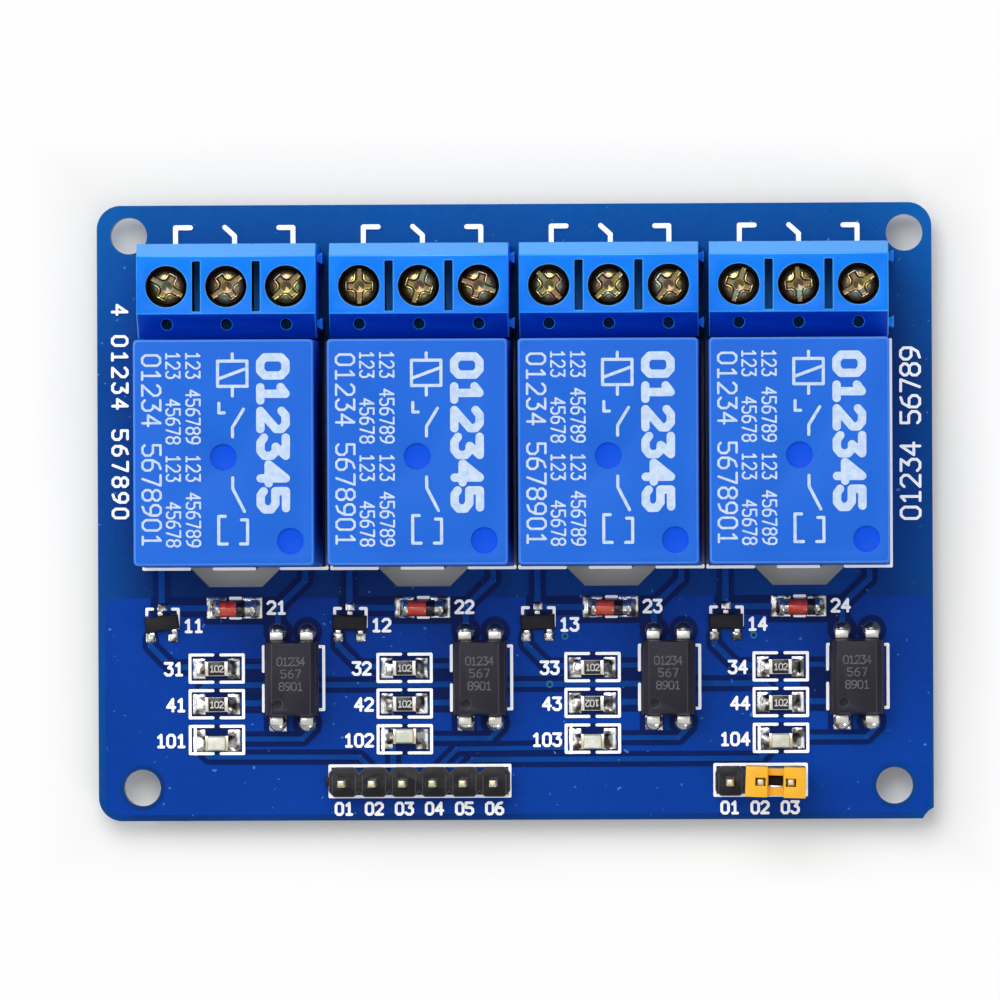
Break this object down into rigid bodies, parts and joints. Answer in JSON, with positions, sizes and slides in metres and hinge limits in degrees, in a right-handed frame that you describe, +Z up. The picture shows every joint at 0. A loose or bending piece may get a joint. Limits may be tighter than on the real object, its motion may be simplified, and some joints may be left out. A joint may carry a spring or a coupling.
{
  "type": "relay module board",
  "caption": "Blue circuit board with a row of sealed relays, screw terminal blocks behind them, and drive parts, pin headers and a jumper cap in front.",
  "frame": {"origin": "centre of the module's bounding box in X and Y, at the lowest ends of its pin tails", "axes": "+X along the row of channels, +Y from the pin headers towards the terminal blocks, +Z up out of the board's component side"},
  "size_m": [0.0706, 0.052, 0.019],
  "materials": {
    "mask": "blue solder mask over copper, with white print",
    "terminal": "bright blue moulded plastic, satin",
    "relay": "blue moulded plastic, fine matt grain",
    "relay_base": "dark moulded plastic",
    "tinned": "tinned brass, bright",
    "zinc": "zinc plated steel, yellow passivated",
    "black": "black moulded plastic",
    "opto": "dark grey epoxy, matt",
    "diode": "red glass with one black band",
    "ceramic": "black film over white ceramic, tinned ends",
    "lamp": "clear pale green resin",
    "cap": "yellow orange moulded plastic",
    "solder": "bright solder"
  },
  "bodies": {
    "module": {"board": "mask", "terminal_block_1": "terminal", "terminal_block_2": "terminal", "terminal_block_3": "terminal", "terminal_block_4": "terminal", "terminal_contacts_1": "tinned", "terminal_contacts_2": "tinned", "terminal_contacts_3": "tinned", "terminal_contacts_4": "tinned", "relay_cover_1": "relay", "relay_cover_2": "relay", "relay_cover_3": "relay", "relay_cover_4": "relay", "relay_base_1": "relay_base", "relay_base_2": "relay_base", "relay_base_3": "relay_base", "relay_base_4": "relay_base", "relay_pins": "tinned", "optocoupler_1": "opto", "optocoupler_2": "opto", "optocoupler_3": "opto", "optocoupler_4": "opto", "optocoupler_leads": "tinned", "diode_glass": "diode", "diode_end_caps": "tinned", "transistors": "black", "transistor_leads": "tinned", "resistors": "ceramic", "lamps": "lamp", "input_header": "black", "input_pins": "tinned", "power_header": "black", "power_pins": "tinned", "jumper_cap": "cap", "jumper_clip": "tinned", "solder": "solder"},
    "guard_1": {"wire_guard_1": "tinned"},
    "screw_1": {"terminal_screw_1": "zinc"},
    "guard_2": {"wire_guard_2": "tinned"},
    "screw_2": {"terminal_screw_2": "zinc"},
    "guard_3": {"wire_guard_3": "tinned"},
    "screw_3": {"terminal_screw_3": "zinc"},
    "guard_4": {"wire_guard_4": "tinned"},
    "screw_4": {"terminal_screw_4": "zinc"},
    "guard_5": {"wire_guard_5": "tinned"},
    "screw_5": {"terminal_screw_5": "zinc"},
    "guard_6": {"wire_guard_6": "tinned"},
    "screw_6": {"terminal_screw_6": "zinc"},
    "guard_7": {"wire_guard_7": "tinned"},
    "screw_7": {"terminal_screw_7": "zinc"},
    "guard_8": {"wire_guard_8": "tinned"},
    "screw_8": {"terminal_screw_8": "zinc"},
    "guard_9": {"wire_guard_9": "tinned"},
    "screw_9": {"terminal_screw_9": "zinc"},
    "guard_10": {"wire_guard_10": "tinned"},
    "screw_10": {"terminal_screw_10": "zinc"},
    "guard_11": {"wire_guard_11": "tinned"},
    "screw_11": {"terminal_screw_11": "zinc"},
    "guard_12": {"wire_guard_12": "tinned"},
    "screw_12": {"terminal_screw_12": "zinc"}
  },
  "joints": [
    {"name": "guard_slide_1", "type": "slide", "parent": "module", "child": "guard_1", "axis": [0, 0, -1], "range_m": [0, 0.00225]},
    {"name": "screw_turn_1", "type": "hinge", "parent": "guard_1", "child": "screw_1", "pos_m": [-0.02886, 0.0189, 0.0088], "axis": [0, 0, -1], "range_deg": [0, 1800]},
    {"name": "guard_slide_2", "type": "slide", "parent": "module", "child": "guard_2", "axis": [0, 0, -1], "range_m": [0, 0.00225]},
    {"name": "screw_turn_2", "type": "hinge", "parent": "guard_2", "child": "screw_2", "pos_m": [-0.02386, 0.0189, 0.0088], "axis": [0, 0, -1], "range_deg": [0, 1800]},
    {"name": "guard_slide_3", "type": "slide", "parent": "module", "child": "guard_3", "axis": [0, 0, -1], "range_m": [0, 0.00225]},
    {"name": "screw_turn_3", "type": "hinge", "parent": "guard_3", "child": "screw_3", "pos_m": [-0.01886, 0.0189, 0.0088], "axis": [0, 0, -1], "range_deg": [0, 1800]},
    {"name": "guard_slide_4", "type": "slide", "parent": "module", "child": "guard_4", "axis": [0, 0, -1], "range_m": [0, 0.00225]},
    {"name": "screw_turn_4", "type": "hinge", "parent": "guard_4", "child": "screw_4", "pos_m": [-0.01274, 0.0189, 0.0088], "axis": [0, 0, -1], "range_deg": [0, 1800]},
    {"name": "guard_slide_5", "type": "slide", "parent": "module", "child": "guard_5", "axis": [0, 0, -1], "range_m": [0, 0.00225]},
    {"name": "screw_turn_5", "type": "hinge", "parent": "guard_5", "child": "screw_5", "pos_m": [-0.00774, 0.0189, 0.0088], "axis": [0, 0, -1], "range_deg": [0, 1800]},
    {"name": "guard_slide_6", "type": "slide", "parent": "module", "child": "guard_6", "axis": [0, 0, -1], "range_m": [0, 0.00225]},
    {"name": "screw_turn_6", "type": "hinge", "parent": "guard_6", "child": "screw_6", "pos_m": [-0.00274, 0.0189, 0.0088], "axis": [0, 0, -1], "range_deg": [0, 1800]},
    {"name": "guard_slide_7", "type": "slide", "parent": "module", "child": "guard_7", "axis": [0, 0, -1], "range_m": [0, 0.00225]},
    {"name": "screw_turn_7", "type": "hinge", "parent": "guard_7", "child": "screw_7", "pos_m": [0.00314, 0.0189, 0.0088], "axis": [0, 0, -1], "range_deg": [0, 1800]},
    {"name": "guard_slide_8", "type": "slide", "parent": "module", "child": "guard_8", "axis": [0, 0, -1], "range_m": [0, 0.00225]},
    {"name": "screw_turn_8", "type": "hinge", "parent": "guard_8", "child": "screw_8", "pos_m": [0.00814, 0.0189, 0.0088], "axis": [0, 0, -1], "range_deg": [0, 1800]},
    {"name": "guard_slide_9", "type": "slide", "parent": "module", "child": "guard_9", "axis": [0, 0, -1], "range_m": [0, 0.00225]},
    {"name": "screw_turn_9", "type": "hinge", "parent": "guard_9", "child": "screw_9", "pos_m": [0.01314, 0.0189, 0.0088], "axis": [0, 0, -1], "range_deg": [0, 1800]},
    {"name": "guard_slide_10", "type": "slide", "parent": "module", "child": "guard_10", "axis": [0, 0, -1], "range_m": [0, 0.00225]},
    {"name": "screw_turn_10", "type": "hinge", "parent": "guard_10", "child": "screw_10", "pos_m": [0.01901, 0.0189, 0.0088], "axis": [0, 0, -1], "range_deg": [0, 1800]},
    {"name": "guard_slide_11", "type": "slide", "parent": "module", "child": "guard_11", "axis": [0, 0, -1], "range_m": [0, 0.00225]},
    {"name": "screw_turn_11", "type": "hinge", "parent": "guard_11", "child": "screw_11", "pos_m": [0.02401, 0.0189, 0.0088], "axis": [0, 0, -1], "range_deg": [0, 1800]},
    {"name": "guard_slide_12", "type": "slide", "parent": "module", "child": "guard_12", "axis": [0, 0, -1], "range_m": [0, 0.00225]},
    {"name": "screw_turn_12", "type": "hinge", "parent": "guard_12", "child": "screw_12", "pos_m": [0.02901, 0.0189, 0.0088], "axis": [0, 0, -1], "range_deg": [0, 1800]}
  ],
  "couplings": [
    {"joint": "screw_turn_1", "follows": "guard_slide_1", "rad_per_m": 13963},
    {"joint": "screw_turn_2", "follows": "guard_slide_2", "rad_per_m": 13963},
    {"joint": "screw_turn_3", "follows": "guard_slide_3", "rad_per_m": 13963},
    {"joint": "screw_turn_4", "follows": "guard_slide_4", "rad_per_m": 13963},
    {"joint": "screw_turn_5", "follows": "guard_slide_5", "rad_per_m": 13963},
    {"joint": "screw_turn_6", "follows": "guard_slide_6", "rad_per_m": 13963},
    {"joint": "screw_turn_7", "follows": "guard_slide_7", "rad_per_m": 13963},
    {"joint": "screw_turn_8", "follows": "guard_slide_8", "rad_per_m": 13963},
    {"joint": "screw_turn_9", "follows": "guard_slide_9", "rad_per_m": 13963},
    {"joint": "screw_turn_10", "follows": "guard_slide_10", "rad_per_m": 13963},
    {"joint": "screw_turn_11", "follows": "guard_slide_11", "rad_per_m": 13963},
    {"joint": "screw_turn_12", "follows": "guard_slide_12", "rad_per_m": 13963}
  ]
}
